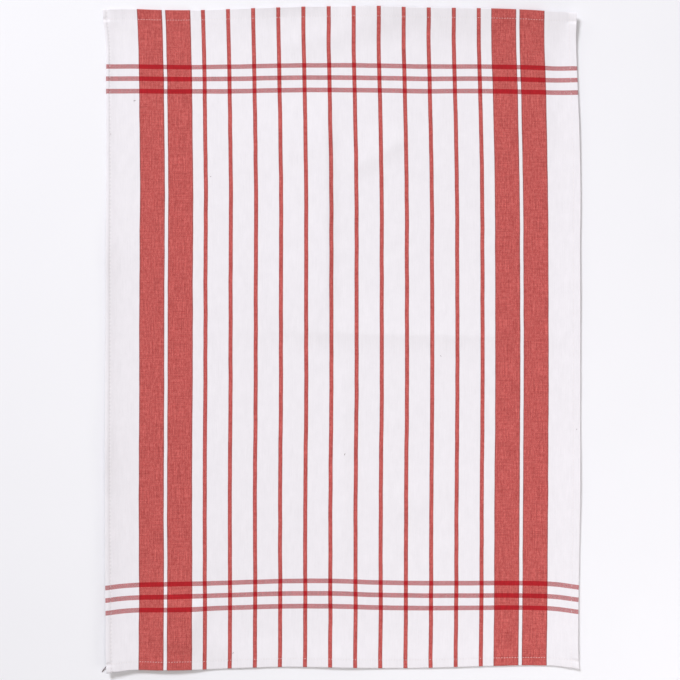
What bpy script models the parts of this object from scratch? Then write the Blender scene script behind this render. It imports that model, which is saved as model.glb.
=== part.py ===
"""A tea towel laid out flat, face up: one woven sheet with a turned hem on all four sides.

Sizes here are in millimetres, and METRE turns them into Blender's metres. X runs across
the towel, Y along it and Z up. The towel lies on the plane z = 0, and the origin is under
the middle of its box.

A place on the cloth is (across, along), as it would measure pulled square. The tables
say how far the cloth as laid has moved from there, and where it stands off the plane.
"""

from collections import namedtuple

import bmesh
import bpy
import numpy as np

METRE = 1000.0

# The finished towel
WIDTH = 500.0
LENGTH = 700.0
CLOTH = 1.0  # thickness of the single sheet
HEM = 1.8  # thickness where the edge is turned under twice
SIDE_HEM = 7.0  # width of the hem down each long side
END_HEM = 10.5  # width of the hem across each end
HEM_STEP = 1.2  # the underside steps from hem to single sheet over this width
HEM_REST = 22.0  # the sheet comes down from the hem to the plane over this distance

# Woven stripes. They carry no relief, and only mark where the cloth's movement is known.
PATTERN_MIDDLE = 1.8  # the stripes sit this far right of the towel's middle
PATTERN_WIDTH = 430.2  # over the outer edges of the wide stripes
BANDS_IN = 75.6  # from each end to the middle one of its three crossing stripes

# The grid that the solid is made from, between the hems
BODY_COLUMNS = 40
BODY_ROWS = 54
CREASED_COLUMNS = (-17.5, 3.0)
CREASED_ROWS = (3.0,)

FABRIC_COLOUR = (0.87, 0.85, 0.88, 1.0)
FABRIC_ROUGHNESS = 0.9

# How far the cloth has moved along Y at its top edge, at the stripes near each end and
# at its bottom edge, for places across it.
ALONG_PLACES = (LENGTH / 2, LENGTH / 2 - BANDS_IN, BANDS_IN - LENGTH / 2, -LENGTH / 2)
MovedAlong = namedtuple("MovedAlong", "across top_edge top_bands bottom_bands bottom_edge")
MOVED_ALONG = (
    MovedAlong(-250, -3.6, -0.5, 0.7, 0.5),
    MovedAlong(-222, -3.3, -0.1, 3.0, 3.6),
    MovedAlong(-190, -4.4, -0.5, 3.9, 3.3),
    MovedAlong(-150, -4.5, -0.7, 4.8, 3.7),
    MovedAlong(-107, -3.1, -0.4, 6.1, 5.3),
    MovedAlong(-65, -1.9, 0.5, 7.3, 6.5),
    MovedAlong(-15, -0.6, 0.8, 7.7, 6.1),
    MovedAlong(38, -0.6, 0.4, 6.0, 5.2),
    MovedAlong(80, -2.2, -0.3, 5.4, 5.3),
    MovedAlong(125, -2.8, -0.3, 5.3, 6.5),
    MovedAlong(165, -3.4, -0.6, 5.4, 7.7),
    MovedAlong(205, -5.1, -1.5, 5.0, 8.2),
    MovedAlong(228, -6.6, -2.1, 3.9, 7.4),
    MovedAlong(250, -7.6, -2.2, 1.1, 4.0),
)

# How far its sides and its stripes have moved along X, from the top of the towel down.
ACROSS_PLACES = (
    -WIDTH / 2,
    PATTERN_MIDDLE - PATTERN_WIDTH / 2,
    PATTERN_MIDDLE,
    PATTERN_MIDDLE + PATTERN_WIDTH / 2,
    WIDTH / 2,
)
MovedAcross = namedtuple("MovedAcross", "along left_edge left_stripes middle right_stripes right_edge")
MOVED_ACROSS = (
    MovedAcross(350, -1.2, -2.5, -2.9, -5.0, -4.5),
    MovedAcross(338, -0.8, -2.1, -2.9, -4.8, -4.8),
    MovedAcross(326, 1.0, -1.6, -3.0, -4.7, -5.1),
    MovedAcross(314, 2.0, -1.2, -3.0, -4.5, -4.7),
    MovedAcross(267, 2.2, -0.2, -2.0, -3.0, -3.1),
    MovedAcross(230, 2.3, 0.1, -1.3, -2.0, -1.6),
    MovedAcross(146, 2.2, 0.7, 0.0, -0.5, 0.0),
    MovedAcross(100, 2.1, 0.4, 0.0, -0.2, -0.5),
    MovedAcross(41, 1.9, 0.1, 0.0, 0.0, -0.3),
    MovedAcross(-64, 1.6, -0.2, 0.0, 0.1, -0.3),
    MovedAcross(-169, 1.4, -0.6, -1.0, -0.6, -0.5),
    MovedAcross(-232, 1.6, -0.4, -1.1, -0.9, -1.4),
    MovedAcross(-295, 2.3, -0.1, -1.1, -1.4, -2.5),
    MovedAcross(-335, 2.6, -0.4, -1.3, -2.0, -2.4),
    MovedAcross(-350, 3.4, -0.5, -1.4, -2.1, -1.4),
)

# Ridges left by folding and by smoothing out. Each runs from one point to another, slopes
# away over its own distances to the left and right of that line, and is rounded along it
# over its own softness.
Ridge = namedtuple("Ridge", "from_across from_along to_across to_along height left right soft")
RIDGES = (
    Ridge(-190, 7, 205, 1, 0.30, 45, 20, 0.5),  # the crosswise fold, all the way
    Ridge(-85, 3.2, 245, 0.3, 1.05, 65, 26, 0.5),  # and its fuller right half
    Ridge(-17.5, 270, -17.5, -20, 2.8, 14, 180, 4.0),  # the lengthwise fold, above it
    Ridge(3, 0, 3, -290, 0.5, 18, 18, 0.5),  # and below it, a little to the right
    Ridge(2, 172, 78, 216, 1.2, 34, 15, 4.0),  # a slack place right of the middle
    Ridge(-75, 305, 75, 340, 1.3, 50, 24, 5.0),  # and one under the top hem
    Ridge(45, -195, 130, -140, 0.7, 40, 40, 8.0),  # a soft one in the lower right quarter
    Ridge(209, 345, 214, 190, 1.4, 20, 60, 4.0),  # one down the top of the right margin
    Ridge(-169, -339, -149, -272, 3.4, 80, 20, 2.5),  # one beside the lifted corner
    Ridge(-190, -262, -118, -345, 1.8, 26, 30, 5.0),  # and a wave across it
)
RIDGE_FADE = 0.25  # each end of a ridge dies away over this share of its length

# Edges that stand up a little: how high, at places along the edge from the left or from
# the bottom, and how far in from the edge the cloth starts to lift.
Lift = namedtuple("Lift", "place height reach")
TOP_LIFTS = (
    Lift(-250, 1.6, 20),
    Lift(-232, 1.5, 20),
    Lift(-190, 1.2, 18),
    Lift(-131, 0.6, 17),
    Lift(-105, 1.1, 18),
    Lift(-79, 2.1, 21),
    Lift(-30, 2.0, 21),
    Lift(1, 0.8, 24),
    Lift(27, 3.4, 52),
    Lift(54, 4.6, 62),
    Lift(107, 4.8, 78),
    Lift(180, 4.4, 86),
    Lift(228, 4.6, 80),
    Lift(250, 4.4, 70),
)
BOTTOM_LIFTS = (
    Lift(-250, 4.9, 150),
    Lift(-235, 4.1, 150),
    Lift(-213, 2.9, 140),
    Lift(-178, 3.5, 120),
    Lift(-158, 2.5, 90),
    Lift(-138, 0.5, 60),
    Lift(-105, 0.7, 40),
    Lift(-65, 0.3, 40),
    Lift(-25, 1.0, 44),
    Lift(5, 1.6, 46),
    Lift(32, 0.6, 40),
    Lift(128, 0.6, 40),
    Lift(185, 0.3, 40),
    Lift(250, 0.0, 40),
)
LEFT_LIFTS = (
    Lift(-350, 5.0, 105),
    Lift(-280, 4.6, 80),
    Lift(-215, 4.4, 74),
    Lift(-165, 3.9, 68),
    Lift(-112, 5.4, 68),
    Lift(-65, 3.4, 62),
    Lift(0, 2.4, 60),
    Lift(50, 2.6, 58),
    Lift(92, 3.8, 58),
    Lift(132, 1.4, 48),
    Lift(165, 0.1, 36),
    Lift(230, 0.0, 34),
    Lift(350, 0.8, 34),
)
RIGHT_LIFTS = (
    Lift(-350, 1.8, 60),
    Lift(-318, 2.3, 60),
    Lift(-285, 1.6, 50),
    Lift(-213, 1.2, 45),
    Lift(-150, 2.3, 50),
    Lift(-87, 1.0, 42),
    Lift(-45, 1.5, 42),
    Lift(0, 1.5, 42),
    Lift(50, 2.1, 50),
    Lift(120, 1.6, 42),
    Lift(175, 1.6, 42),
    Lift(230, 2.3, 40),
    Lift(300, 2.0, 38),
    Lift(318, 2.7, 36),
    Lift(328, 4.0, 36),
    Lift(338, 5.6, 36),
    Lift(350, 6.2, 36),
)
CORNER_BLEND = 4.0  # how closely a corner follows the higher of its two edges


def ease(share):
    """From 0 to 1 with a level start and end."""
    share = np.clip(share, 0.0, 1.0)
    return share * share * (3.0 - 2.0 * share)


def smooth_curve(at, places, values):
    """Reads a smooth curve that passes through the values at the places."""
    order = np.argsort(places)
    places = np.asarray(places, float)[order]
    values = np.asarray(values, float)[order]
    slopes = np.gradient(values, places)
    left = np.clip(np.searchsorted(places, at) - 1, 0, len(places) - 2)
    gap = places[left + 1] - places[left]
    share = np.clip((at - places[left]) / gap, 0.0, 1.0)
    rise = values[left + 1] - values[left]
    start = slopes[left] * gap
    end = slopes[left + 1] * gap
    bend = start * (1.0 - share) - end * share + rise * (2.0 * share - 1.0)
    return values[left] + rise * share + share * (1.0 - share) * bend


def read_table(rows, at_row, column_places, at_column):
    """Reads a table smoothly down its rows and straight across its columns.

    Each row starts with its own place, and its values stand at the column places."""
    table = np.array(rows, float)
    order = np.argsort(column_places)
    places = np.asarray(column_places)[order]
    total = 0.0
    for column, weights in zip(order, np.eye(len(order))):
        nearness = np.interp(at_column, places, weights)
        total = total + nearness * smooth_curve(at_row, table[:, 0], table[:, column + 1])
    return total


def place_in_plan(across, along):
    """Where a point of the cloth lies, seen from above, as x and y."""
    x = across + read_table(MOVED_ACROSS, along, ACROSS_PLACES, across)
    y = along + read_table(MOVED_ALONG, across, ALONG_PLACES, along)
    return x, y


def ridge_height(across, along, ridge):
    """The height of one ridge, which comes to an edge of its own softness along its line."""
    run_across = ridge.to_across - ridge.from_across
    run_along = ridge.to_along - ridge.from_along
    length = np.hypot(run_across, run_along)
    forward = ((across - ridge.from_across) * run_across + (along - ridge.from_along) * run_along) / length
    leftward = ((along - ridge.from_along) * run_across - (across - ridge.from_across) * run_along) / length
    width = np.where(leftward > 0.0, ridge.left, ridge.right)
    away = np.hypot(leftward, ridge.soft) - ridge.soft
    slope = np.clip(1.0 - away / width, 0.0, 1.0) ** 2
    from_end = np.minimum(forward, length - forward) / length
    return ridge.height * slope * ease(from_end / RIDGE_FADE)


def curled(share):
    """An edge that curls up, steepest at the very edge."""
    return share**3


def edge_lift(inward, position, lifts, shape):
    """How high a lifted edge holds the cloth, at a distance inward from it."""
    places, heights, reaches = zip(*lifts)
    raised = np.clip(1.0 - inward / smooth_curve(position, places, reaches), 0.0, 1.0)
    return np.maximum(smooth_curve(position, places, heights), 0.0) * shape(raised)


def inside_hem(across, along):
    """How far a point of the cloth is in from the nearest hem, negative on the hem."""
    from_side = WIDTH / 2 - np.abs(across)
    from_end = LENGTH / 2 - np.abs(along)
    return np.minimum(from_side - SIDE_HEM, from_end - END_HEM)


def face_height(across, along):
    """The height of the towel's face, which passes smoothly over the hems."""
    lifts = (
        edge_lift(LENGTH / 2 - along, across, TOP_LIFTS, curled),
        edge_lift(LENGTH / 2 + along, across, BOTTOM_LIFTS, ease),
        edge_lift(WIDTH / 2 + across, along, LEFT_LIFTS, curled),
        edge_lift(WIDTH / 2 - across, along, RIGHT_LIFTS, curled),
    )
    lifted = sum(lift**CORNER_BLEND for lift in lifts) ** (1.0 / CORNER_BLEND)
    ridges = sum(ridge_height(across, along, ridge) for ridge in RIDGES)
    propped = (HEM - CLOTH) * (1.0 - ease(inside_hem(across, along) / HEM_REST))
    return CLOTH + propped + lifted + ridges


def grid_lines(half, hem, cells, creases):
    """Places of the grid's lines from one edge to the other, with some at the hems."""
    outer = [half, half - hem / 2, half - hem + HEM_STEP / 2, half - hem - HEM_STEP / 2]
    inner = half - hem - HEM_STEP
    body = list(np.linspace(-inner, inner, cells + 1)[1:-1])
    for crease in creases:
        nearest = min(range(len(body)), key=lambda index: abs(body[index] - crease))
        body[nearest] = crease
    return [-place for place in outer] + body + outer[::-1]


def flat_sheet():
    """The towel's face pulled square, as a grid mesh."""
    columns = grid_lines(WIDTH / 2, SIDE_HEM, BODY_COLUMNS, CREASED_COLUMNS)
    rows = grid_lines(LENGTH / 2, END_HEM, BODY_ROWS, CREASED_ROWS)
    grid = bmesh.new()
    bmesh.ops.create_grid(grid, x_segments=len(columns) - 1, y_segments=len(rows) - 1, size=0.5)
    for vertex in grid.verts:
        column = round((vertex.co.x + 0.5) * (len(columns) - 1))
        row = round((vertex.co.y + 0.5) * (len(rows) - 1))
        vertex.co = (columns[column], rows[row], 0.0)
    mesh = bpy.data.meshes.new("towel")
    grid.to_mesh(mesh)
    grid.free()
    return mesh


def mark_hem(towel, across, along):
    """A vertex group that is 1 on the hem and 0 on the single sheet."""
    hem = towel.vertex_groups.new(name="hem")
    shares = np.clip(0.5 - inside_hem(across, along) / HEM_STEP, 0.0, 1.0)
    for index, share in enumerate(shares):
        hem.add([index], float(share), "REPLACE")


def lay_down(towel, across, along):
    """Moves the flat grid to where the cloth lies and centres it over the origin."""
    x, y = place_in_plan(across, along)
    x -= (x.min() + x.max()) / 2
    y -= (y.min() + y.max()) / 2
    laid = np.stack([x, y, face_height(across, along)], axis=1) / METRE
    for vertex, place in zip(towel.data.vertices, laid):
        vertex.co = place


def thicken(towel):
    """Gives the face its thickness downwards, more of it on the hem."""
    solid = towel.modifiers.new("thickness", "SOLIDIFY")
    solid.thickness = HEM / METRE
    solid.vertex_group = "hem"
    solid.thickness_vertex_group = CLOTH / HEM
    solid.offset = -1.0


def fabric():
    """Bleached cotton, which most of the towel is."""
    material = bpy.data.materials.new("fabric")
    material.use_nodes = True
    shader = material.node_tree.nodes["Principled BSDF"]
    shader.inputs["Base Color"].default_value = FABRIC_COLOUR
    shader.inputs["Roughness"].default_value = FABRIC_ROUGHNESS
    shader.inputs["Metallic"].default_value = 0.0
    return material


def clear_scene():
    for thing in list(bpy.data.objects):
        bpy.data.objects.remove(thing, do_unlink=True)


def build():
    clear_scene()
    collection = bpy.data.collections.new("tea_towel")
    bpy.context.scene.collection.children.link(collection)
    towel = bpy.data.objects.new("towel", flat_sheet())
    collection.objects.link(towel)
    flat = np.array([vertex.co for vertex in towel.data.vertices])
    mark_hem(towel, flat[:, 0], flat[:, 1])
    lay_down(towel, flat[:, 0], flat[:, 1])
    thicken(towel)
    towel.data.materials.append(fabric())
    towel.data.shade_smooth()


build()
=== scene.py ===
"""A cotton tea towel, plain-woven in white with red stripes, laid out flat and face up.

Lengths are in millimetres until METRE turns them into Blender's metres. Three kinds of
place are used, each with its middle at the towel's middle:
  cut       a point of the flat cloth as it was cut, before its hems were turned
  finished  a point of the hemmed towel pulled square, with its height over the face
  laid      a point of the towel as it lies, which is the frame's own X, Y and Z
"""

from collections import namedtuple

import bmesh
import bpy
import numpy as np
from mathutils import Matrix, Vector


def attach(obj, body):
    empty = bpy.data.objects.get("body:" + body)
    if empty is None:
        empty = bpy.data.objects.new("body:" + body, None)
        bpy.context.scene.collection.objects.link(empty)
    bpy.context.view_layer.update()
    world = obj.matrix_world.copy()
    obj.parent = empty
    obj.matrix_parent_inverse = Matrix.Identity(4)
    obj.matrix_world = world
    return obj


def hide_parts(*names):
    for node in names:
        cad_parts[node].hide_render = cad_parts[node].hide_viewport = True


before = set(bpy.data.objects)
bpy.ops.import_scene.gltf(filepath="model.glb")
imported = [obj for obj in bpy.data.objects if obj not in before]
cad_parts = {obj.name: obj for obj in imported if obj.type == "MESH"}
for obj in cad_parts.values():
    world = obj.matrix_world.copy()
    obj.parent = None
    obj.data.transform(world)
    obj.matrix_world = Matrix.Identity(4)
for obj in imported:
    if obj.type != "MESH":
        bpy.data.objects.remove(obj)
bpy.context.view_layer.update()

METRE = 1000.0

# -------- the finished towel

WIDTH = 500.0
LENGTH = 700.0
CLOTH = 0.40  # thickness of the cloth
LAYER = 0.44  # from the middle of one layer to the next in a hem
REST_GAP = 0.15  # the lowest cloth lies this far over the surface, on its own thread

# Hems, as the width turned under at the left or lower end of the edge and at the other
# end, how far inside it the single cloth comes down to the surface, the share of its
# thickness that the hem loses under the stitches, how much its face swells between the
# stitches and the edge, and how strongly the stitches dimple it and darken the dimples
# with painted shade.
Hem = namedtuple("Hem", "at_start at_end rest pressed swell dimples")
LEFT_HEM = Hem(7.2, 5.0, 7.0, 0.24, 0.50, 0.7)
RIGHT_HEM = Hem(8.6, 8.2, 30.0, 0.0, 0.0, 0.05)
BOTTOM_HEM = Hem(9.6, 9.6, 34.0, 0.05, 0.0, 0.3)
TOP_HEM = Hem(12.0, 10.9, 26.0, 0.10, 0.0, 0.3)
STITCH_INSET = 1.1  # the stitches run this far outside the hem's inner fold
CUT_LEFT = 260.0  # from the middle to the left raw edge of the cut cloth
CUT_RIGHT = 264.5  # and to the right one
CUT_WIDTH = CUT_LEFT + CUT_RIGHT
CUT_LENGTH = 739.0

# -------- the woven pattern

PATTERN_MIDDLE = 1.8  # right of the towel's middle
PATTERN_WIDTH = 430.2
NARROW_PITCH = 26.45
WARP_PITCH = NARROW_PITCH / 55  # 55 lengthwise threads from one narrow stripe to the next
WEFT_PITCH = 0.55
NARROW_WIDTH = 9 * WARP_PITCH
NARROW_REACH = 6 * NARROW_PITCH  # six narrow stripes on each side of the middle
WIDE_PAIR_MIDDLE = 186.9
WIDE_PAIR_WIDTH = 56.4
WIDE_SPLIT = 3.6  # the white between the two stripes of a pair
STRIPE_EDGE = 0.9  # the outermost red threads of a wide stripe look darker over this width
NARROW_EDGE = 0.4  # and those of a narrow one over this width
BANDS_IN = 75.6  # from an end of the towel to the middle one of its three bands
BAND_PITCH = 13.2
BAND_WIDTH = 4.95


def srgb(red, green, blue):
    """A colour from 8-bit sRGB numbers, as Blender's linear ones."""
    coded = np.array([red, green, blue]) / 255.0
    linear = np.where(coded <= 0.04045, coded / 12.92, ((coded + 0.055) / 1.055) ** 2.4)
    return (*(float(value) for value in linear), 1.0)


WHITE_YARN = srgb(238, 234, 239)
RED_CROSSING = srgb(172, 22, 32)  # red warp over and under red weft
RED_WARP_OVER_WHITE = srgb(181, 53, 53)
WHITE_WEFT_OVER_RED = srgb(200, 110, 105)
RED_WEFT_OVER_WHITE = srgb(174, 71, 80)
WHITE_WARP_OVER_RED = srgb(202, 167, 168)
EDGE_TINT = (0.68, 0.97, 1.0, 1.0)  # multiplies the colour of a stripe's outermost threads
THREAD_COLOUR = srgb(240, 232, 233)
# Dark lint, and painted shadow on the end of yarn.
LINT_AND_YARN_SHADOW_COLOUR = srgb(98, 76, 82)
FLOOR_COLOUR = srgb(239, 238, 242)

# -------- how the towel lies
# These tables and the functions that read them are the ones the solid was made from.

# How far points lie from their true places along the towel, at places over its width and at
# its ends and middle bands, and across it, at places over its length and width.
ALONG_PLACES = (LENGTH / 2, LENGTH / 2 - BANDS_IN, BANDS_IN - LENGTH / 2, -LENGTH / 2)
MovedAlong = namedtuple("MovedAlong", "across top_edge top_bands bottom_bands bottom_edge")
MOVED_ALONG = (
    MovedAlong(-250, -3.6, -0.5, 0.7, 0.5),
    MovedAlong(-222, -3.3, -0.1, 3.0, 3.6),
    MovedAlong(-190, -4.4, -0.5, 3.9, 3.3),
    MovedAlong(-150, -4.5, -0.7, 4.8, 3.7),
    MovedAlong(-107, -3.1, -0.4, 6.1, 5.3),
    MovedAlong(-65, -1.9, 0.5, 7.3, 6.5),
    MovedAlong(-15, -0.6, 0.8, 7.7, 6.1),
    MovedAlong(38, -0.6, 0.4, 6.0, 5.2),
    MovedAlong(80, -2.2, -0.3, 5.4, 5.3),
    MovedAlong(125, -2.8, -0.3, 5.3, 6.5),
    MovedAlong(165, -3.4, -0.6, 5.4, 7.7),
    MovedAlong(205, -5.1, -1.5, 5.0, 8.2),
    MovedAlong(228, -6.6, -2.1, 3.9, 7.4),
    MovedAlong(250, -7.6, -2.2, 1.1, 4.0),
)

ACROSS_PLACES = (
    -WIDTH / 2,
    PATTERN_MIDDLE - PATTERN_WIDTH / 2,
    PATTERN_MIDDLE,
    PATTERN_MIDDLE + PATTERN_WIDTH / 2,
    WIDTH / 2,
)
MovedAcross = namedtuple("MovedAcross", "along left_edge left_stripes middle right_stripes right_edge")
MOVED_ACROSS = (
    MovedAcross(350, -1.2, -2.5, -2.9, -5.0, -4.5),
    MovedAcross(338, -0.8, -2.1, -2.9, -4.8, -4.8),
    MovedAcross(326, 1.0, -1.6, -3.0, -4.7, -5.1),
    MovedAcross(314, 2.0, -1.2, -3.0, -4.5, -4.7),
    MovedAcross(267, 2.2, -0.2, -2.0, -3.0, -3.1),
    MovedAcross(230, 2.3, 0.1, -1.3, -2.0, -1.6),
    MovedAcross(146, 2.2, 0.7, 0.0, -0.5, 0.0),
    MovedAcross(100, 2.1, 0.4, 0.0, -0.2, -0.5),
    MovedAcross(41, 1.9, 0.1, 0.0, 0.0, -0.3),
    MovedAcross(-64, 1.6, -0.2, 0.0, 0.1, -0.3),
    MovedAcross(-169, 1.4, -0.6, -1.0, -0.6, -0.5),
    MovedAcross(-232, 1.6, -0.4, -1.1, -0.9, -1.4),
    MovedAcross(-295, 2.3, -0.1, -1.1, -1.4, -2.5),
    MovedAcross(-335, 2.6, -0.4, -1.3, -2.0, -2.4),
    MovedAcross(-350, 3.4, -0.5, -1.4, -2.1, -1.4),
)

# Ridges, as the places that each runs between, its height, how far it slopes down on the
# left and the right of that way, and how soft its crest is.
Ridge = namedtuple("Ridge", "from_across from_along to_across to_along height left right soft")
RIDGES = (
    Ridge(-190, 7, 205, 1, 0.30, 45, 20, 0.5),  # the crosswise fold, all the way
    Ridge(-85, 3.2, 245, 0.3, 1.05, 65, 26, 0.5),  # and its fuller right half
    Ridge(-17.5, 270, -17.5, -20, 2.8, 14, 180, 4.0),  # the lengthwise fold, above it
    Ridge(3, 0, 3, -290, 0.5, 18, 18, 0.5),  # and below it, a little to the right
    Ridge(2, 172, 78, 216, 1.2, 34, 15, 4.0),  # a slack place right of the middle
    Ridge(-75, 305, 75, 340, 1.3, 50, 24, 5.0),  # and one under the top hem
    Ridge(45, -195, 130, -140, 0.7, 40, 40, 8.0),  # a soft one in the lower right quarter
    Ridge(209, 345, 214, 190, 1.4, 20, 60, 4.0),  # one down the top of the right margin
    Ridge(-169, -339, -149, -272, 3.4, 80, 20, 2.5),  # one beside the lifted corner
    Ridge(-190, -262, -118, -345, 1.8, 26, 30, 5.0),  # and a wave across it
)
RIDGE_FADE = 0.25  # a ridge rises over this share of its length at each end

# Lifted edges, as places along them, the height there and how far in the cloth comes down.
Lift = namedtuple("Lift", "place height reach")
TOP_LIFTS = (
    Lift(-250, 1.6, 20),
    Lift(-232, 1.5, 20),
    Lift(-190, 1.2, 18),
    Lift(-131, 0.6, 17),
    Lift(-105, 1.1, 18),
    Lift(-79, 2.1, 21),
    Lift(-30, 2.0, 21),
    Lift(1, 0.8, 24),
    Lift(27, 3.4, 52),
    Lift(54, 4.6, 62),
    Lift(107, 4.8, 78),
    Lift(180, 4.4, 86),
    Lift(228, 4.6, 80),
    Lift(250, 4.4, 70),
)
BOTTOM_LIFTS = (
    Lift(-250, 4.9, 150),
    Lift(-235, 4.1, 150),
    Lift(-213, 2.9, 140),
    Lift(-178, 3.5, 120),
    Lift(-158, 2.5, 90),
    Lift(-138, 0.5, 60),
    Lift(-105, 0.7, 40),
    Lift(-65, 0.3, 40),
    Lift(-25, 1.0, 44),
    Lift(5, 1.6, 46),
    Lift(32, 0.6, 40),
    Lift(128, 0.6, 40),
    Lift(185, 0.3, 40),
    Lift(250, 0.0, 40),
)
LEFT_LIFTS = (
    Lift(-350, 5.0, 105),
    Lift(-280, 4.6, 80),
    Lift(-215, 4.4, 74),
    Lift(-165, 3.9, 68),
    Lift(-112, 5.4, 68),
    Lift(-65, 3.4, 62),
    Lift(0, 2.4, 60),
    Lift(50, 2.6, 58),
    Lift(92, 3.8, 58),
    Lift(132, 1.4, 48),
    Lift(165, 0.1, 36),
    Lift(230, 0.0, 34),
    Lift(350, 0.8, 34),
)
RIGHT_LIFTS = (
    Lift(-350, 1.8, 60),
    Lift(-318, 2.3, 60),
    Lift(-285, 1.6, 50),
    Lift(-213, 1.2, 45),
    Lift(-150, 2.3, 50),
    Lift(-87, 1.0, 42),
    Lift(-45, 1.5, 42),
    Lift(0, 1.5, 42),
    Lift(50, 2.1, 50),
    Lift(120, 1.6, 42),
    Lift(175, 1.6, 42),
    Lift(230, 2.3, 40),
    Lift(300, 2.0, 38),
    Lift(318, 2.7, 36),
    Lift(328, 4.0, 36),
    Lift(338, 5.6, 36),
    Lift(350, 6.2, 36),
)
CORNER_BLEND = 4.0  # two lifted edges meet the more sharply, the higher this is


def ease(share):
    """From 0 to 1 with a level start and end."""
    share = np.clip(share, 0.0, 1.0)
    return share * share * (3.0 - 2.0 * share)


def smooth_curve(at, places, values):
    """Reads a smooth curve that passes through the values at the places."""
    order = np.argsort(places)
    places = np.asarray(places, float)[order]
    values = np.asarray(values, float)[order]
    slopes = np.gradient(values, places)
    left = np.clip(np.searchsorted(places, at) - 1, 0, len(places) - 2)
    gap = places[left + 1] - places[left]
    share = np.clip((at - places[left]) / gap, 0.0, 1.0)
    rise = values[left + 1] - values[left]
    start = slopes[left] * gap
    end = slopes[left + 1] * gap
    bend = start * (1.0 - share) - end * share + rise * (2.0 * share - 1.0)
    return values[left] + rise * share + share * (1.0 - share) * bend


def read_table(rows, at_row, column_places, at_column):
    """Reads a table smoothly down its rows and straight across its columns."""
    table = np.array(rows, float)
    order = np.argsort(column_places)
    places = np.asarray(column_places)[order]
    total = 0.0
    for column, weights in zip(order, np.eye(len(order))):
        nearness = np.interp(at_column, places, weights)
        total = total + nearness * smooth_curve(at_row, table[:, 0], table[:, column + 1])
    return total


def place_in_plan(across, along):
    """Where a finished point lies, seen from above, before the towel is centred."""
    x = across + read_table(MOVED_ACROSS, along, ACROSS_PLACES, across)
    y = along + read_table(MOVED_ALONG, across, ALONG_PLACES, along)
    return x, y


def towel_middle():
    """The middle of the towel's outline, taken at each half millimetre of its edges."""
    side = np.linspace(-LENGTH / 2, LENGTH / 2, int(2 * LENGTH) + 1)
    end = np.linspace(-WIDTH / 2, WIDTH / 2, int(2 * WIDTH) + 1)
    across = np.concatenate([np.full_like(side, -WIDTH / 2), np.full_like(side, WIDTH / 2), end, end])
    along = np.concatenate([side, side, np.full_like(end, -LENGTH / 2), np.full_like(end, LENGTH / 2)])
    x, y = place_in_plan(across, along)
    return (x.min() + x.max()) / 2, (y.min() + y.max()) / 2


MIDDLE_X, MIDDLE_Y = towel_middle()


def ridge_height(across, along, ridge):
    """The height of one ridge, which comes to an edge of its own softness along its line."""
    run_across = ridge.to_across - ridge.from_across
    run_along = ridge.to_along - ridge.from_along
    length = np.hypot(run_across, run_along)
    from_across = across - ridge.from_across
    from_along = along - ridge.from_along
    forward = (from_across * run_across + from_along * run_along) / length
    leftward = (from_along * run_across - from_across * run_along) / length
    width = np.where(leftward > 0.0, ridge.left, ridge.right)
    away = np.hypot(leftward, ridge.soft) - ridge.soft
    slope = np.clip(1.0 - away / width, 0.0, 1.0) ** 2
    from_end = np.minimum(forward, length - forward) / length
    return ridge.height * slope * ease(from_end / RIDGE_FADE)


def curled(share):
    """An edge that curls up, steepest at the very edge."""
    return share**3


def edge_lift(inward, position, lifts, shape):
    """How high a lifted edge holds the cloth, at a distance inward from it."""
    places, heights, reaches = zip(*lifts)
    raised = np.clip(1.0 - inward / smooth_curve(position, places, reaches), 0.0, 1.0)
    return np.maximum(smooth_curve(position, places, heights), 0.0) * shape(raised)


# -------- hems

STACK_STEP = 2.5  # the end hem climbs on to the side hem over this distance
CORNER_SQUEEZE = 0.4  # the share of its thickness that a corner's stack of layers loses


def hem_width(hem, position, half):
    """The width of a tapering hem at a place along its edge."""
    return np.interp(position, (-half, half), (hem.at_start, hem.at_end))


def side_hem(across, along):
    """The width of the nearer side hem."""
    left = hem_width(LEFT_HEM, along, LENGTH / 2)
    right = hem_width(RIGHT_HEM, along, LENGTH / 2)
    return np.where(across < 0.0, left, right)


def end_hem(across, along):
    """The width of the nearer end hem."""
    bottom = hem_width(BOTTOM_HEM, across, WIDTH / 2)
    top = hem_width(TOP_HEM, across, WIDTH / 2)
    return np.where(along < 0.0, bottom, top)


def inside_side(across, along):
    """How far inside the nearer side hem a point is."""
    return WIDTH / 2 - np.abs(across) - side_hem(across, along)


def inside_end(across, along):
    """How far inside the nearer end hem a point is."""
    return LENGTH / 2 - np.abs(along) - end_hem(across, along)


def stack(across, along):
    """How many layers an end hem folds up: 3 over a side hem, and 1 elsewhere."""
    past = np.abs(across) - (WIDTH / 2 - side_hem(across, along))
    return 1.0 + 2.0 * ease(past / STACK_STEP + 1.0)


def in_end_hem(across, along):
    """1 in an end hem, falling to 0 just inside it."""
    return ease(1.0 - inside_end(across, along) / STACK_STEP)


def squeeze(across, along):
    """How much of its thickness is left where the layers of a corner are squeezed together."""
    over_side_hem = (stack(across, along) - 1.0) / 2.0
    return 1.0 - CORNER_SQUEEZE * over_side_hem * in_end_hem(across, along)


def fold_radii(layers):
    """Radii of the fold at the edge and of the fold inside, for a stack of layers."""
    return (3.0 * layers - 1.0) / 2.0 * LAYER, (2.0 * layers - 1.0) / 2.0 * LAYER


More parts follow.
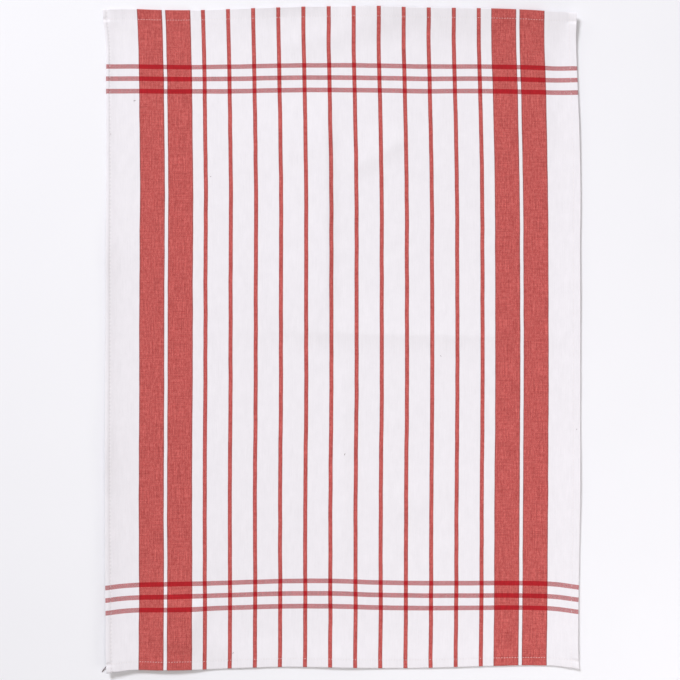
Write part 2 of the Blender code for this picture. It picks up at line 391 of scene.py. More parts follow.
def hem_path(length, half, hem, layers):
    """Follows the cloth out to its edge, round it, and round again inside the hem.

    length is how far along the cloth a point is from the middle. Returns how far from the
    middle it comes to, its depth as a height (0 or less), and which way its face turns, as
    the outward and upward parts of a direction."""
    outer, inner = fold_radii(layers)
    fold_start = half - outer
    fold_end = fold_start + np.pi * outer
    back = hem - outer - inner
    turn = np.clip((length - fold_start) / outer, 0.0, np.pi)
    second_turn = np.clip((length - fold_end - back) / inner, 0.0, np.pi)
    along_back = np.clip(length - fold_end, 0.0, back)
    inside = np.maximum(length - fold_end - back - np.pi * inner, 0.0)
    place = np.minimum(length, fold_start) + outer * np.sin(turn)
    place = place - along_back - inner * np.sin(second_turn) + inside
    depth = inner * (1.0 - np.cos(second_turn)) - outer * (1.0 - np.cos(turn))
    return place, depth, np.sin(turn + second_turn), np.cos(turn + second_turn)


def length_on_back(place, half, layers):
    """How far along the cloth a point on the back of the hem is."""
    outer, _ = fold_radii(layers)
    return half - outer + np.pi * outer + (half - outer - place)


def turned(cut_across, cut_along, above):
    """A finished point from a cut one. above is its height over the middle of the cloth."""
    side = np.sign(cut_across)
    hem = side_hem(cut_across, cut_along)
    place, depth, outward, upward = hem_path(np.abs(cut_across), WIDTH / 2, hem, 1.0)
    across = side * (place + above * outward)
    height = press_side(across, cut_along, depth + above * upward)
    end = np.sign(cut_along)
    hem = end_hem(across, cut_along)
    layers = stack(across, cut_along)
    place, depth, outward, upward = hem_path(np.abs(cut_along), LENGTH / 2, hem, layers)
    along = end * (place + height * outward)
    height = (depth + height * upward) * squeeze(across, along)
    return across, along, press_end(across, along, height, layers)


# -------- the stitching's pull

OUTER_REACH = 2.0  # how far the pull reaches from the stitches towards the edge
INNER_REACH = 2.5  # and away from it
CORNER_PULL = 0.30  # the ends of the end seams are sewn over twice, which pulls them tighter
CORNER_PULL_REACH = 7.0


def side_value(across, name):
    """One of the values of the nearer side hem."""
    return np.where(across < 0.0, getattr(LEFT_HEM, name), getattr(RIGHT_HEM, name))


def end_value(along, name):
    """One of the values of the nearer end hem."""
    return np.where(along < 0.0, getattr(BOTTOM_HEM, name), getattr(TOP_HEM, name))


def groove(inside):
    """1 on a line of stitches, falling softly to 0 beside it. inside is the distance from
    the hem's inner fold, away from the edge."""
    away = inside + STITCH_INSET
    reach = np.where(away > 0.0, INNER_REACH, OUTER_REACH)
    return np.exp(-((away / reach) ** 2))


def roll(inside, width):
    """1 in the middle of a hem's width and 0 at its stitches and at its edge."""
    share = (inside + STITCH_INSET) / (width - STITCH_INSET) + 1.0
    return np.sin(np.pi * np.clip(share, 0.0, 1.0))


def side_pull(across, along):
    """The share of its thickness that the side hem loses at a point."""
    return side_value(across, "pressed") * groove(inside_side(across, along))


def end_pull(across, along):
    """The share of its thickness that the end hem loses at a point."""
    at_corner = np.exp(-(((WIDTH / 2 - np.abs(across)) / CORNER_PULL_REACH) ** 2))
    pull = end_value(along, "pressed") + CORNER_PULL * at_corner
    return pull * groove(inside_end(across, along))


def press_side(across, along, height):
    """The height of a point in the side hem, whose layers part or are drawn together."""
    rolled = roll(inside_side(across, along), side_hem(across, along))
    swell = side_value(across, "swell") * rolled
    bottom = -2.0 * LAYER
    return bottom + (height - bottom) * (1.0 + swell - side_pull(across, along))


def press_end(across, along, height, layers):
    """The height of a point in the end hem, whose layers part or are drawn together."""
    rolled = roll(inside_end(across, along), end_hem(across, along))
    swell = end_value(along, "swell") * rolled
    fold = LAYER + in_end_hem(across, along) * (fold_radii(layers)[0] - LAYER)
    bottom = -2.0 * fold * squeeze(across, along)
    return bottom + (height - bottom) * (1.0 + swell - end_pull(across, along))


PUCKER = 0.10
PUCKER_REACH = 14.0
PUCKER_LENGTH = 17.0
PUCKER_DRIFT = 0.6  # they come early or late by up to this share of their length
PUCKER_DRIFT_REACH = 41.0


def puckers(across, along):
    """Small waves that the stitches draw up in the cloth beside them."""
    total = 0.0
    for measure, position in ((inside_side, along), (inside_end, across)):
        drift = PUCKER_DRIFT * np.sin(position / PUCKER_DRIFT_REACH)
        wave = 1.0 + np.sin(2 * np.pi * (position / PUCKER_LENGTH + drift))
        total = total + wave * np.exp(-((measure(across, along) / PUCKER_REACH) ** 2))
    return PUCKER / 2 * total


# Soft unevenness all over the cloth, as waves that cross each other: how far apart their
# crests are each way, their height and where they start.
Wave = namedtuple("Wave", "across along height offset")
WAVES = (
    Wave(97, 310, 0.07, 0.4),
    Wave(-143, 205, 0.09, 1.9),
    Wave(61, -118, 0.05, 3.1),
    Wave(-38, 83, 0.03, 0.7),
    Wave(410, 47, 0.04, 5.0),
)


def unevenness(across, along):
    """The soft waves all over the cloth, added up."""
    total = 0.0
    for wave in WAVES:
        phase = 2 * np.pi * (across / wave.across + along / wave.along) + wave.offset
        total = total + wave.height * (1 + np.sin(phase))
    return total / 2


CORNER_BULK = 8 * LAYER * (1.0 - CORNER_SQUEEZE)  # the lowest of nine layers is this far down
BULK_REST = 16.0  # the single cloth comes down from it over this distance


def face_height(across, along):
    """The height of the face of the cloth, over hems, folds and lifted edges."""
    lifts = (
        edge_lift(LENGTH / 2 - along, across, TOP_LIFTS, curled),
        edge_lift(LENGTH / 2 + along, across, BOTTOM_LIFTS, ease),
        edge_lift(WIDTH / 2 + across, along, LEFT_LIFTS, curled),
        edge_lift(WIDTH / 2 - across, along, RIGHT_LIFTS, curled),
    )
    lifted = sum(lift**CORNER_BLEND for lift in lifts) ** (1.0 / CORNER_BLEND)
    ridges = sum(ridge_height(across, along, ridge) for ridge in RIDGES)
    from_side = inside_side(across, along)
    from_end = inside_end(across, along)
    down = np.minimum(from_side / side_value(across, "rest"), from_end / end_value(along, "rest"))
    propped = 2 * LAYER * (1.0 - np.clip(down, 0.0, 1.0)) ** 2
    inside_corner = np.hypot(np.maximum(from_side, 0.0), np.maximum(from_end, 0.0))
    corner = CORNER_BULK * (1.0 - ease(inside_corner / BULK_REST))
    soft = puckers(across, along) + unevenness(across, along)
    return REST_GAP + CLOTH + np.maximum(propped + lifted + ridges, corner) + soft


def laid(across, along, height):
    """A laid point in metres from a finished one, whose height is over the cloth's middle."""
    x, y = place_in_plan(across, along)
    z = face_height(across, along) - CLOTH / 2 + height
    return np.stack([x - MIDDLE_X, y - MIDDLE_Y, z], axis=-1) / METRE


# -------- making meshes

RING = 6  # points round a thread
ROUND = np.arange(RING) * 2 * np.pi / RING  # and their directions


def new_object(name, points, faces, material):
    """An object from its points in metres and its faces, shaded smooth."""
    mesh = bpy.data.meshes.new(name)
    mesh.from_pydata(points, [], faces)
    mesh.materials.append(material)
    mesh.shade_smooth()
    made = bpy.data.objects.new(name, mesh)
    bpy.context.scene.collection.objects.link(made)
    return made


def face_outwards(thing):
    """Turns every face of a mesh of closed pieces to the outside."""
    shape = bmesh.new()
    shape.from_mesh(thing.data)
    bmesh.ops.recalc_face_normals(shape, faces=shape.faces)
    shape.to_mesh(thing.data)
    shape.free()


def tube_faces(count, rings):
    """Faces of a number of tubes, each with its rings of points in order and closed ends."""
    faces = []
    for tube in range(count):
        base = tube * rings * RING
        for ring in range(rings - 1):
            near = base + ring * RING
            for side in range(RING):
                after = (side + 1) % RING
                faces.append((near + side, near + RING + side, near + RING + after, near + after))
        faces.append(tuple(base + side for side in range(RING)))
        last = base + (rings - 1) * RING
        faces.append(tuple(last + side for side in reversed(range(RING))))
    return faces


def new_tubes(name, points, rings, material):
    """One object of tubes that have so many rings each, from the points of all their rings."""
    count = len(points) // (rings * RING)
    tubes = new_object(name, points.tolist(), tube_faces(count, rings), material)
    face_outwards(tubes)
    return tubes


def with_modifiers_applied(thing):
    """Replaces an object's mesh by the one that its modifiers make."""
    graph = bpy.context.evaluated_depsgraph_get()
    mesh = bpy.data.meshes.new_from_object(thing.evaluated_get(graph))
    thing.modifiers.clear()
    thing.data = mesh


# -------- the cloth

BODY_SPACING = 4.4  # between the even lines of the grid
FOLD_REACH = 25.0  # the lines lie closer within this distance of the middle, for the folds
FOLD_CELLS = 15  # in this many steps
# Lines of the grid beside a seam, just inside the fold at the edge, and on the back of the
# hem as shares of it, with the number of steps round the outer and the inner fold.
SEAM_OFFSETS = (-3.2, -2.4, -1.8, -1.3, -0.9, -0.5, 0.0, 0.5, 0.9, 1.3, 1.8, 2.4)
EDGE_OFFSETS = (0.35, 0.9, 1.8)
BACK_SHARES = (0.0, 0.25, 0.5, 0.72, 0.82, 0.92)
FOLD_STEPS = 7
INNER_STEPS = 4
# Gaps left between the even lines and a seam's, a seam's and the fold, and the edge's lines.
SEAM_GAP = 0.6
FOLD_GAP = 0.3
EDGE_GAP = 0.25


def grid_lines(half, raw_half, hem):
    """Cut places of the grid's lines from the middle to one raw edge."""
    outer, inner = fold_radii(1.0)
    width = (hem.at_start + hem.at_end) / 2
    fold_start = half - outer
    fold_end = fold_start + np.pi * outer
    back = width - outer - inner
    seam = half - width + STITCH_INSET
    body_end = seam + SEAM_OFFSETS[0] - SEAM_GAP
    count = round((body_end - FOLD_REACH) / BODY_SPACING)
    lines = [*np.linspace(0.0, FOLD_REACH, FOLD_CELLS + 1)[1:-1]]
    lines += [*np.linspace(FOLD_REACH, body_end, count + 1)]
    lines += [seam + offset for offset in SEAM_OFFSETS if seam + offset < fold_start - FOLD_GAP]
    between = [fold_start - offset for offset in EDGE_OFFSETS[::-1]]
    lines += [line for line in between if line > lines[-1] + EDGE_GAP]
    lines += [fold_start + step * np.pi * outer / FOLD_STEPS for step in range(FOLD_STEPS)]
    lines += [fold_end + share * back for share in BACK_SHARES]
    turn = np.pi * inner
    lines += [fold_end + back + step * turn / INNER_STEPS for step in range(INNER_STEPS + 1)]
    lines += [(lines[-1] + raw_half) / 2, raw_half]
    return lines


def both_ways(negative, positive):
    """Grid lines from one raw edge to the other, with one in the middle."""
    return np.array([-line for line in negative[::-1]] + [0.0] + list(positive))


def lay_cloth(material):
    """The whole cloth, with its hems turned, as a sheet with a real thickness."""
    columns = both_ways(
        grid_lines(WIDTH / 2, CUT_LEFT, LEFT_HEM),
        grid_lines(WIDTH / 2, CUT_RIGHT, RIGHT_HEM),
    )
    rows = both_ways(
        grid_lines(LENGTH / 2, CUT_LENGTH / 2, BOTTOM_HEM),
        grid_lines(LENGTH / 2, CUT_LENGTH / 2, TOP_HEM),
    )
    cut_across, cut_along = (grid.ravel() for grid in np.meshgrid(columns, rows))
    across, along, height = turned(cut_across, cut_along, 0.0)
    points = laid(across, along, height)
    wide = len(columns)
    faces = []
    for row in range(len(rows) - 1):
        for near in range(row * wide, (row + 1) * wide - 1):
            faces.append((near, near + 1, near + wide + 1, near + wide))
    cloth = new_object("cloth", points.tolist(), faces, material)
    on_cloth = np.stack([(cut_across + CUT_LEFT) / CUT_WIDTH, cut_along / CUT_LENGTH + 0.5], axis=-1)
    corners = np.empty(len(cloth.data.loops), int)
    cloth.data.loops.foreach_get("vertex_index", corners)
    cloth.data.uv_layers.new(name="OFBake").data.foreach_set("uv", on_cloth[corners].ravel())
    thickness = cloth.vertex_groups.new(name="thickness")
    pull = np.maximum(side_pull(across, along), end_pull(across, along))
    for index, left in enumerate((1.0 - pull) * squeeze(across, along)):
        thickness.add([index], float(left), "REPLACE")
    solid = cloth.modifiers.new("thickness", "SOLIDIFY")
    solid.thickness = CLOTH / METRE
    solid.offset = 0.0
    solid.vertex_group = "thickness"
    with_modifiers_applied(cloth)
    return cloth


# -------- seams

END_PITCH = 2.8  # length of a stitch and its gap, in the end seams
SIDE_PITCH = 4.0  # and in the side seams
END_WRAP = 8.0  # the side seams go round the end hems and on over their backs

# A seam, with the edge that it runs beside: half the towel's size up to that edge, which
# side of the middle it is on, its hem, its stitches' pitch and how far they reach each way.
Seam = namedtuple("Seam", "lengthwise half side hem pitch reach")
SEAMS = (
    Seam(True, WIDTH / 2, -1, LEFT_HEM, SIDE_PITCH, LENGTH / 2 + END_WRAP),
    Seam(True, WIDTH / 2, 1, RIGHT_HEM, SIDE_PITCH, LENGTH / 2 + END_WRAP),
    Seam(False, LENGTH / 2, -1, BOTTOM_HEM, END_PITCH, WIDTH / 2),
    Seam(False, LENGTH / 2, 1, TOP_HEM, END_PITCH, WIDTH / 2),
)


def half_edge(seam):
    """Half the length of the edge that a seam runs beside."""
    return LENGTH / 2 if seam.lengthwise else WIDTH / 2


def stitch_count(seam):
    """The number of stitches in a seam, which lie evenly about its middle."""
    return int(2 * seam.reach / seam.pitch)


def stitch_places(seam):
    """Cut places of the middles of a seam's stitches."""
    count = stitch_count(seam)
    position = (np.arange(count) - (count - 1) / 2) * seam.pitch
    place = seam.side * (seam.half - hem_width(seam.hem, position, half_edge(seam)) + STITCH_INSET)
    return (place, position) if seam.lengthwise else (position, place)


# -------- materials

# Cloudy patterns over the cloth: the size of their spots each way, how much finer pattern is
# in them, and a depth in the noise, so that no two of them are alike.
Cloudy = namedtuple("Cloudy", "across along detail depth")
WARP_SWAY = Cloudy(60, 35, 1.0, 3.0)
WEFT_SWAY = Cloudy(35, 60, 1.0, 8.0)
MOTTLE = Cloudy(1.6, 3.6, 1.0, 0.0)
WARP_STREAKS = Cloudy(0.8, 22.0, 1.0, 5.0)
WEFT_STREAKS = Cloudy(20.0, 0.7, 1.0, 7.0)
SLUBS = Cloudy(7.0, 0.6, 1.0, 11.0)
CLOUDS = Cloudy(70.0, 110.0, 2.0, 2.0)
PATCHES = Cloudy(7.0, 15.0, 2.0, 4.0)
CLOUDY_ROUGHNESS = 0.55

SWAY = 0.8  # threads wander this much, so that stripe edges and the weave aren't ruled lines
SLUB_LEVEL = 0.70  # a thread is thick where the slubs' pattern is over this
SLUB_GAIN = 8.0

# How strongly each decides which of two crossing threads lies on top.
TURNS_ON_TOP = 1.2
MOTTLE_ON_TOP = 1.1
WARP_STREAKS_ON_TOP = 0.7
WEFT_STREAKS_ON_TOP = 0.40
SLUBS_ON_TOP = 0.35

# How much each darkens or lightens the cloth, and the last three its red threads. The
# weave's and the holes' are painted shade, in the hollows between the threads and in the
# stitches' dimples.
PAINTED_WEAVE_SHADE = 0.10
MOTTLE_SHADE = 0.03
STREAK_SHADE = 0.08
CLOUD_SHADE = 0.02
PATCH_SHADE = 0.08
PAINTED_HOLE_SHADE = 0.12
DYE_MOTTLE = 0.38
DYE_WARP_STREAKS = 0.6
DYE_WEFT_STREAKS = 0.55

# How far each stands up or goes down.
THREAD_HEIGHT = 0.030
SLUB_HEIGHT = 0.05
STREAK_HEIGHT = 0.03
HOLE_DEPTH = 0.14
HOLE_REACH = 1.0  # how far the dimples reach beside their seam

COTTON_SURFACE = {
    "Roughness": 0.88,
    "Sheen Weight": 0.12,
    "Sheen Roughness": 0.5,
    "Specular IOR Level": 0.25,
}

# Materials with a plain grain: its scale and detail, the darkest shade of their colour that
# it gives, how much lighter it gets from there, and how far it stands up.
Grained = namedtuple("Grained", "name colour scale detail darkest lighter relief surface")
SEWING_THREAD = Grained(
    "sewing_thread", THREAD_COLOUR, 900.0, 2.0, 0.94, 0.12, 0.05, {"Roughness": 0.6, "Sheen Weight": 0.2}
)
LINT_AND_YARN_SHADOW = Grained("lint_and_yarn_shadow", LINT_AND_YARN_SHADOW_COLOUR, 1500.0, 2.0, 0.8, 0.4, 0.05, {"Roughness": 0.9})
PALE_FLOOR = Grained(
    "pale_floor", FLOOR_COLOUR, 12.0, 3.0, 0.99, 0.02, 0.0, {"Roughness": 0.95, "Specular IOR Level": 0.1}
)


class Value:
    """A value that varies over a surface. It is used in sums as a number is, and each step of
    a sum becomes one of the material's nodes."""

    def __init__(self, tree, socket):
        self.tree = tree
        self.socket = socket

    def __add__(self, other):
        return self.math("ADD", other)

    def __radd__(self, number):
        return calculated(self.tree, "ADD", (number, self))

    def __sub__(self, other):
        return self.math("SUBTRACT", other)

    def __rsub__(self, number):
        return calculated(self.tree, "SUBTRACT", (number, self))

    def __mul__(self, other):
        return self.math("MULTIPLY", other)

    def __lt__(self, limit):
        """1 where the value is less than the limit, and 0 elsewhere."""
        return self.math("LESS_THAN", limit)

    def __abs__(self):
        return self.math("ABSOLUTE")

    def math(self, operation, *others, clamp=False):
        """The result of an operation on this value and others, kept from 0 to 1 if clamped."""
        return calculated(self.tree, operation, (self, *others), clamp)


def feed(tree, socket, value):
    """Gives a socket its value, its number or its colour."""
    if isinstance(value, Value):
        tree.links.new(value.socket, socket)
    else:
        socket.default_value = value


def calculated(tree, operation, values, clamp=False):
    """The value that one step of a sum gives."""
    node = tree.nodes.new("ShaderNodeMath")
    node.operation = operation
    node.use_clamp = clamp
    for socket, value in zip(node.inputs, values):
        feed(tree, socket, value)
    return Value(tree, node.outputs[0])


class Recipe:
    """A material in the making."""

    def __init__(self, name):
        self.material = bpy.data.materials.new(name)
        self.material.use_nodes = True
        self.tree = self.material.node_tree
        self.shader = self.tree.nodes["Principled BSDF"]

    def made_by(self, kind, inputs):
        """The value that a new node makes from its inputs, which go by their names."""
        node = self.tree.nodes.new(kind)
        for name, value in inputs.items():
            feed(self.tree, node.inputs[name], value)
        return Value(self.tree, node.outputs[0])

    def vector(self, x, y, z):
        """A vector, or a colour, from its three values."""
        return self.made_by("ShaderNodeCombineXYZ", {"X": x, "Y": y, "Z": z})

    def noise(self, place, scale, detail, roughness=0.5):
        """A cloudy noise from 0 to 1."""
        inputs = {"Vector": place, "Scale": scale, "Detail": detail, "Roughness": roughness}
        return self.made_by("ShaderNodeTexNoise", inputs)

    def cloudy(self, across, along, pattern):
        """A cloudy pattern, as a value from 0 to 1."""
        x = across * (1.0 / pattern.across)
        y = along * (1.0 / pattern.along)
        return self.noise(self.vector(x, y, pattern.depth), 1.0, pattern.detail, CLOUDY_ROUGHNESS)

    def mix(self, share, first, second, blend="MIX"):
        """Two colours, mixed or multiplied, with this share of the second."""
        node = self.tree.nodes.new("ShaderNodeMix")
        node.data_type = "RGBA"
        node.blend_type = blend
        node.clamp_factor = True
        feed(self.tree, node.inputs["Factor"], share)
        colours = [socket for socket in node.inputs if socket.type == "RGBA"]
        feed(self.tree, colours[0], first)
        feed(self.tree, colours[1], second)
        return Value(self.tree, next(socket for socket in node.outputs if socket.type == "RGBA"))

    def tint(self, colour, shade):
        """Gives the shader a colour, made darker or lighter by a shade."""
        grey = self.vector(shade, shade, shade)
        feed(self.tree, self.shader.inputs["Base Color"], self.mix(1.0, colour, grey, "MULTIPLY"))

    def bump(self, height):
        """Gives the shader a relief, from its height in millimetres."""
        normal = self.made_by("ShaderNodeBump", {"Distance": 1.0 / METRE, "Height": height})
        feed(self.tree, self.shader.inputs["Normal"], normal)

    def finish(self, surface):
        """Sets the shader's own values by their names, and returns the material."""
        for name, value in surface.items():
            self.shader.inputs[name].default_value = value
        return self.material


def woven_cotton():
    """Plain-woven cotton whose stripes and bands come from dyed threads."""
    cotton = Recipe("woven_cotton")
    uv = cotton.tree.nodes.new("ShaderNodeUVMap")
    uv.uv_map = "OFBake"
    split = cotton.tree.nodes.new("ShaderNodeSeparateXYZ")
    cotton.tree.links.new(uv.outputs[0], split.inputs[0])
    across = Value(cotton.tree, split.outputs[0]) * CUT_WIDTH - CUT_LEFT
    along = (Value(cotton.tree, split.outputs[1]) - 0.5) * CUT_LENGTH

    def varying(pattern):
        """A cloudy pattern over the cloth, as a value that is 0 on average."""
        return cotton.cloudy(across, along, pattern) - 0.5

    warp = (across - PATTERN_MIDDLE + varying(WARP_SWAY) * SWAY) * (1.0 / WARP_PITCH)
    weft = (along + varying(WEFT_SWAY) * SWAY) * (1.0 / WEFT_PITCH)
    red_warp, stripe_edge = red_warp_share((warp.math("FLOOR") + 0.5) * WARP_PITCH)
    red_weft = red_weft_share((weft.math("FLOOR") + 0.5) * WEFT_PITCH)

    # The plain weave: warp and weft cover each other by turns, like a draughts board.
    turns = (warp * np.pi).math("SINE") * (weft * np.pi).math("SINE")
    mottle = varying(MOTTLE)
    warp_streaks = varying(WARP_STREAKS)
    weft_streaks = varying(WEFT_STREAKS)
    over_level = cotton.cloudy(across, along, SLUBS) - SLUB_LEVEL
    slubs = over_level.math("MULTIPLY", SLUB_GAIN, clamp=True)
    weft_on_top = (
        0.5
        + turns * TURNS_ON_TOP
        + mottle * MOTTLE_ON_TOP
        + warp_streaks * WARP_STREAKS_ON_TOP
        + weft_streaks * WEFT_STREAKS_ON_TOP
        + slubs * SLUBS_ON_TOP
    )
    warp_over = cotton.mix(
        red_warp,
        cotton.mix(red_weft, WHITE_YARN, WHITE_WARP_OVER_RED),
        cotton.mix(red_weft, RED_WARP_OVER_WHITE, RED_CROSSING),
    )
    weft_over = cotton.mix(
        red_weft,
        cotton.mix(red_warp, WHITE_YARN, WHITE_WEFT_OVER_RED),
        cotton.mix(red_warp, RED_WEFT_OVER_WHITE, RED_CROSSING),
    )
    woven = cotton.mix(weft_on_top, warp_over, weft_over)
    pillow = abs(turns).math("SQRT")
    # Painted shade in the hollows between the threads, then the cloth's own tone, which varies.
    shade = (
        1.0
        - PAINTED_WEAVE_SHADE
        + pillow * PAINTED_WEAVE_SHADE
        + mottle * MOTTLE_SHADE
        + warp_streaks * STREAK_SHADE
        + varying(CLOUDS) * CLOUD_SHADE
        + varying(PATCHES) * PATCH_SHADE
    )

    # The dye took unevenly, so red threads vary in depth along their length.
    dyed = red_warp.math("MAXIMUM", red_weft)
    dye = mottle * DYE_MOTTLE + warp_streaks * DYE_WARP_STREAKS + weft_streaks * DYE_WEFT_STREAKS
    dimples = needle_holes(across, along)
    # Painted shade darkens the dimples of the needle holes.
    shade = shade * (1.0 + dye * dyed) * (1.0 - dimples * PAINTED_HOLE_SHADE)
    tinted = cotton.mix(1.0, woven, EDGE_TINT, "MULTIPLY")
    cotton.tint(cotton.mix(stripe_edge, woven, tinted), shade)

    streaks = warp_streaks + weft_streaks + mottle
    threads = pillow * THREAD_HEIGHT + slubs * SLUB_HEIGHT + streaks * STREAK_HEIGHT
    cotton.bump(threads - dimples * HOLE_DEPTH)
    return cotton.finish(COTTON_SURFACE)


def red_warp_share(warp_place):
    """1 on the red lengthwise threads: twelve narrow stripes and two wide pairs. Also 1 on
    the outermost threads of each stripe. The place is from the middle of the pattern."""
    from_middle = abs(warp_place)
    from_stripe = abs(from_middle.math("MODULO", NARROW_PITCH) - NARROW_PITCH / 2)
    is_narrow = from_middle < NARROW_REACH
    from_pair = abs(from_middle - WIDE_PAIR_MIDDLE)

    def stripes(wide_inset, narrow_inset):
        """The stripes, each made narrower by its inset at both of its edges."""
        narrow = (from_stripe < NARROW_WIDTH / 2 - narrow_inset) * is_narrow
        pair = from_pair < WIDE_PAIR_WIDTH / 2 - wide_inset
        split = from_pair < WIDE_SPLIT / 2 + wide_inset
        return narrow + (pair - split)

    red = stripes(0.0, 0.0)
    return red, red - stripes(STRIPE_EDGE, NARROW_EDGE)


def red_weft_share(weft_place):
    """1 on the red crosswise threads: three bands near each end."""
    from_end = LENGTH / 2 - abs(weft_place)
    from_middle_band = abs(from_end - BANDS_IN)
    from_band = from_middle_band.math("MINIMUM", abs(from_middle_band - BAND_PITCH))
    return from_band < BAND_WIDTH / 2


def needle_holes(across, along):
    """1 in the dimples between stitches, along the seams on the face of the cloth, which are sunk and get
    painted shade.
    """
    dimples = []
    for seam in SEAMS:
        position, place = (along, across) if seam.lengthwise else (across, along)
        middle_width = (seam.hem.at_start + seam.hem.at_end) / 2
        taper = (seam.hem.at_end - seam.hem.at_start) / (2 * half_edge(seam))
        width = middle_width - STITCH_INSET + position * taper
        away = (place * seam.side - (seam.half - width)) * (1.0 / HOLE_REACH)
        near = (away * away * -1.0).math("EXPONENT")
        # The wave is highest on each stitch. An odd number of them has one at the middle.
        first_crest = 0.25 if stitch_count(seam) % 2 else 0.75
        phase = (position + first_crest * seam.pitch) * (2 * np.pi / seam.pitch)
        dips = 0.5 - phase.math("SINE") * 0.5
        dimples.append(near * dips * seam.hem.dimples)
    return sum(dimples)


def grained(kind):
    """A material with a plain grain."""
    made = Recipe(kind.name)
    coordinates = made.tree.nodes.new("ShaderNodeTexCoord")
    grain = made.noise(Value(made.tree, coordinates.outputs["Object"]), kind.scale, kind.detail)
    made.tint(kind.colour, kind.darkest + grain * kind.lighter)
    if kind.relief:
        made.bump(grain * kind.relief)
    return made.finish(kind.surface)


# -------- stitches

STITCH_SHARE = 0.40  # half a stitch shows as this share of the pitch
STITCH_SLANT = 0.10  # radians
STITCH_VARIATION = 0.05  # how much their slant, length and place vary
STATIONS = (-1.0, -0.8, -0.45, 0.0, 0.45, 0.8, 1.0)  # places of the rings along a stitch
THREAD_RADIUS = 0.16
THREAD_TAPER = 0.55  # how strongly it narrows at the ends of a stitch
DIVE = 0.42  # how far the ends of a stitch go down
FACE_PROUD = 0.02  # how far the middle of the thread stands over the face of the cloth
BACK_PROUD = -0.04  # and over its back
BACK_TACK = 9.0  # the end seams run back over themselves for this far at each side
BACK_TACK_OFFSET = 0.45  # and this far beside themselves
SEWING_SEED = 7


def stitches_on_back(seam):
    """The same stitches where they show on the back of the hem."""
    across, along = stitch_places(seam)
    if seam.lengthwise:
        inside = np.abs(along) < LENGTH / 2 - end_hem(across, along) - seam.pitch / 2
        across, along = across[inside], along[inside]
        return np.sign(across) * length_on_back(np.abs(across), WIDTH / 2, 1.0), along
    layers = stack(across, along)
    return across, np.sign(along) * length_on_back(np.abs(along), LENGTH / 2, layers)


def add_stitches(parts, across, along, seam, proud, random):
    """Adds one short piece of thread for each place, curving down into the cloth at its ends.
    The arrays go by the stitch, by the station along it and by the point round its thread."""
    count = len(across)
    station = np.array(STATIONS)[None, :, None]
    slant = STITCH_SLANT + random.normal(0.0, STITCH_VARIATION, count)[:, None, None]
    size = 1.0 + random.normal(0.0, STITCH_VARIATION, count)[:, None, None]
    shift = random.normal(0.0, STITCH_VARIATION, count)[:, None, None]
    forward = STITCH_SHARE * seam.pitch * size * station
    radius = THREAD_RADIUS * np.sqrt(1.0 - THREAD_TAPER * station**2)
    sideways = radius * np.cos(ROUND) + shift
    above = CLOTH / 2 + proud - DIVE * station**4 + radius * np.sin(ROUND)
    above = np.broadcast_to(above, sideways.shape)
    ahead = forward * np.cos(slant) - sideways * np.sin(slant)
    aside = forward * np.sin(slant) + sideways * np.cos(slant)
    across = across[:, None, None] + (aside if seam.lengthwise else ahead)
    along = along[:, None, None] + (ahead if seam.lengthwise else aside)
    parts.append(laid(*turned(across, along, above)).reshape(-1, 3))


def sew_towel(material):
    """All the stitches on the face and on the back, as one mesh."""
    random = np.random.default_rng(SEWING_SEED)
    parts = []
    for seam in SEAMS:
        across, along = stitch_places(seam)
        add_stitches(parts, across, along, seam, FACE_PROUD, random)
        add_stitches(parts, *stitches_on_back(seam), seam, BACK_PROUD, random)
        if not seam.lengthwise:
            tacked = WIDTH / 2 - np.abs(across) < BACK_TACK
            over = along[tacked] + BACK_TACK_OFFSET
            add_stitches(parts, across[tacked] + seam.pitch / 2, over, seam, FACE_PROUD, random)
    return new_tubes("stitching", np.concatenate(parts), len(STATIONS), material)


# -------- lint and loose ends

# Fibres that have settled on the cloth: where each starts, its length, its direction as an
# angle from X, how far it turns from end to end, and its thickness.
Fibre = namedtuple("Fibre", "across along length angle curl thickness")
FIBRES = (
    Fibre(-219.6, 250.6, 2.4, 0.4, 1.2, 0.42),
    Fibre(103.8, -20.8, 1.8, 2.2, 0.8, 0.30),
    Fibre(3.0, -127.0, 2.2, 1.0, -1.4, 0.40),
    Fibre(246.0, -95.4, 1.6, 1.5, 0.5, 0.34),
    Fibre(-245.8, 216.0, 1.5, 0.2, 0.9, 0.28),
    Fibre(-137.7, 170.5, 1.7, 2.7, -0.8, 0.28),
    Fibre(-114.5, -334.7, 2.0, 0.9, 1.1, 0.30),
)
FIBRE_RINGS = 9
YARN = Fibre(-245.3, -341.8, 10.0, -2.25, 0.35, 0.85)  # its place is a laid one
YARN_DROP = 2.6  # it starts this far over the surface


def curled_tube(fibre):
    """Rings of points round a fibre that lies level and curls, with places in millimetres."""
    share = np.linspace(0.0, 1.0, FIBRE_RINGS)
    heading = fibre.angle + fibre.curl * (share - 0.5)
    step = fibre.length / (FIBRE_RINGS - 1)
    x = fibre.across + np.concatenate([[0.0], np.cumsum(np.cos(heading[:-1]))]) * step
    y = fibre.along + np.concatenate([[0.0], np.cumsum(np.sin(heading[:-1]))]) * step
    # It is full for most of its length, and narrow at its two ends.
    radius = fibre.thickness / 2 * np.sqrt(np.clip(1.02 - (2 * share - 1) ** 6, 0.05, 1.0))
    sideways = radius[:, None] * np.cos(ROUND)[None, :]
    up = radius[:, None] * np.sin(ROUND)[None, :]
    ring_x = x[:, None] - sideways * np.sin(heading)[:, None]
    ring_y = y[:, None] + sideways * np.cos(heading)[:, None]
    return np.stack([ring_x, ring_y, up + fibre.thickness / 2], axis=-1)


def scatter_lint(material):
    """The fibres that lie on the face, as one mesh."""
    parts = []
    for fibre in FIBRES:
        tube = curled_tube(fibre)
        points = laid(tube[..., 0], tube[..., 1], tube[..., 2] + CLOTH / 2)
        parts.append(points.reshape(-1, 3))
    return new_tubes("lint", np.concatenate(parts), FIBRE_RINGS, material)


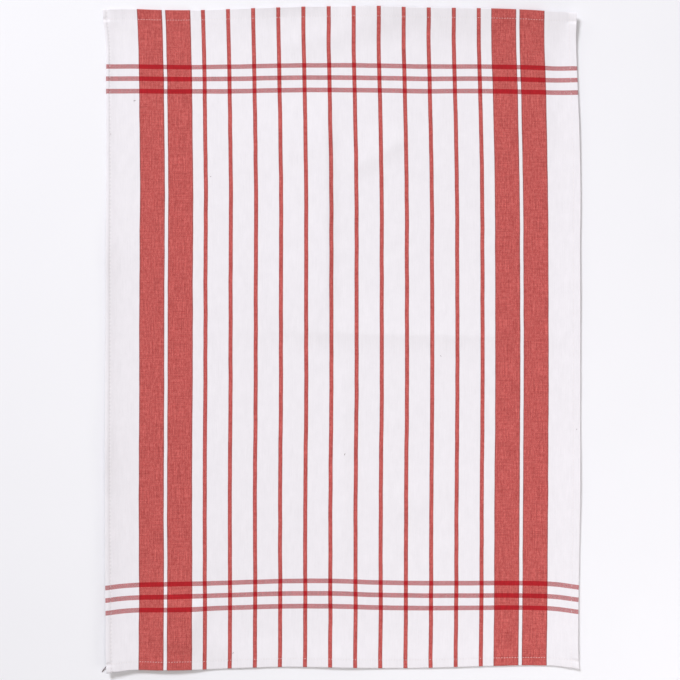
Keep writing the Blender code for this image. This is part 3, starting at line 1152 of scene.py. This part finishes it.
def loose_yarn(material):
    """A short end of yarn that hangs out of the bottom left corner on to the surface."""
    tube = curled_tube(YARN)
    share = np.linspace(0.0, 1.0, FIBRE_RINGS)[:, None]
    tube[..., 2] = tube[..., 2] + YARN_DROP * (1.0 - share) ** 2
    return new_tubes("loose_yarn", tube.reshape(-1, 3) / METRE, FIBRE_RINGS, material)


# -------- studio

FLOOR_SIZE = 8.0  # metres
# A round lamp that faces the towel's middle: where it is and how wide it is, in metres,
# with its power in watts and its colour.
Lamp = namedtuple("Lamp", "name place width power colour")
LAMPS = (
    # Far beyond the top edge, on the left.
    Lamp("key", (-2.81, 4.88, 4.72), 2.19, 440.0, (0.92, 0.95, 1.0)),
    # Above the towel.
    Lamp("top_fill", (0.25, -0.15, 1.405), 0.6, 3.71, (1.0, 0.98, 0.98)),
    # Low down, beyond its top left and its bottom right corner.
    Lamp("left_fill", (-0.812, 1.038, 0.45), 0.40, 1.59, (1.0, 0.98, 0.98)),
    Lamp("right_fill", (0.731, -0.813, 0.488), 0.42, 2.29, (1.0, 0.98, 0.98)),
)
SKY_STRENGTH = 0.34
SKY_COLOUR = (1.0, 0.957, 0.892, 1.0)
# The camera's place in metres, with its lens and sensor in millimetres.
CAMERA_X = -0.00175
CAMERA_Y = -0.00058
CAMERA_HEIGHT = 1.984
CAMERA_LENS = 100.0
CAMERA_SENSOR = 36.0


def lay_floor(material):
    """A level surface that reaches well beyond the picture."""
    bpy.ops.mesh.primitive_plane_add(size=FLOOR_SIZE, location=(0.0, 0.0, 0.0))
    floor = bpy.context.object
    floor.name = "floor"
    floor.data.materials.append(material)
    return floor


def light_studio():
    """Four soft lamps, and even light from all round."""
    for lamp in LAMPS:
        light = bpy.data.lights.new(lamp.name, "AREA")
        light.shape = "DISK"
        light.size = lamp.width
        light.energy = lamp.power
        light.color = lamp.colour
        holder = bpy.data.objects.new(lamp.name, light)
        holder.location = lamp.place
        holder.rotation_euler = Vector(lamp.place).to_track_quat("Z", "Y").to_euler()
        bpy.context.scene.collection.objects.link(holder)
    world = bpy.data.worlds.new("studio")
    world.use_nodes = True
    background = world.node_tree.nodes["Background"]
    background.inputs["Color"].default_value = SKY_COLOUR
    background.inputs["Strength"].default_value = SKY_STRENGTH
    bpy.context.scene.world = world
    bpy.context.scene.view_settings.view_transform = "Standard"


def place_camera():
    """Straight above the towel, with its top edge at the top of the picture."""
    lens = bpy.data.cameras.new("camera")
    lens.lens = CAMERA_LENS
    lens.sensor_width = CAMERA_SENSOR
    camera = bpy.data.objects.new("camera", lens)
    camera.location = (CAMERA_X, CAMERA_Y, CAMERA_HEIGHT)
    bpy.context.scene.collection.objects.link(camera)
    bpy.context.scene.camera = camera


# -------- putting it together

place_camera()
light_studio()
floor = lay_floor(grained(PALE_FLOOR))

cloth = lay_cloth(woven_cotton())
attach(cloth, "root")
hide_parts("towel")

stitching = sew_towel(grained(SEWING_THREAD))
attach(stitching, "root")

# The lint's dark colour also covers the real end of yarn, where it is painted shadow.
fibre = grained(LINT_AND_YARN_SHADOW)
lint = scatter_lint(fibre)
yarn = loose_yarn(fibre)
for piece in (lint, yarn):
    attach(piece, "root")
